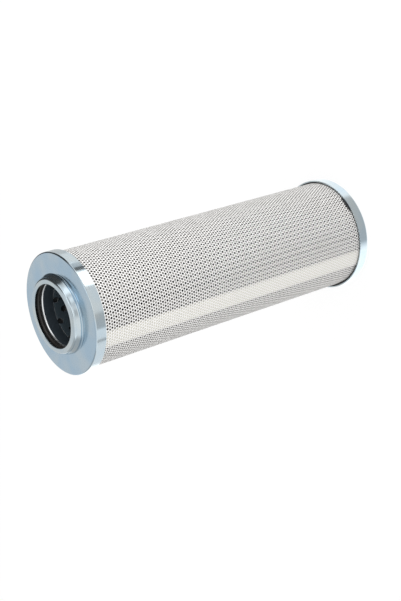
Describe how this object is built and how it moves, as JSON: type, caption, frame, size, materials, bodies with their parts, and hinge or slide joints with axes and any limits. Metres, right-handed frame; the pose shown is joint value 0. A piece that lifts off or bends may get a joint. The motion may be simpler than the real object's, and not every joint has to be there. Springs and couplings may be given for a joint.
{
  "type": "hydraulic filter element",
  "caption": "Pleated cylindrical oil filter element with a perforated white wrap, pressed steel end caps and a sealed neck.",
  "frame": {"origin": "centre of the closed end cap's outer face, which the element stands on", "axes": "+Z along the element's axis towards the open neck; the wrap's lapped seam faces -X -Y"},
  "size_m": [0.0974, 0.0974, 0.2927],
  "materials": {
    "zinc_plated_steel": "bright zinc plate on pressed sheet",
    "core_steel": "dull plated sheet",
    "nitrile_rubber": "moulded",
    "wrap_plastic": "white perforated sheet",
    "seam_glue": "set glue",
    "support_mesh_wire": "coated wire mesh",
    "filter_fibre": "glass-fibre mat between fleeces",
    "potting_compound": "cast dark resin"
  },
  "bodies": {
    "root": {"open_end_cap": "zinc_plated_steel", "closed_end_cap": "zinc_plated_steel", "seal_seat_ring": "zinc_plated_steel", "neck_o_ring": "nitrile_rubber", "core_tube": "core_steel", "inner_support_mesh": "support_mesh_wire", "filter_mat": "filter_fibre", "outer_support_mesh": "support_mesh_wire", "outer_wrap": "wrap_plastic", "wrap_seam_glue": "seam_glue", "upper_potting": "potting_compound", "lower_potting": "potting_compound"}
  },
  "joints": []
}
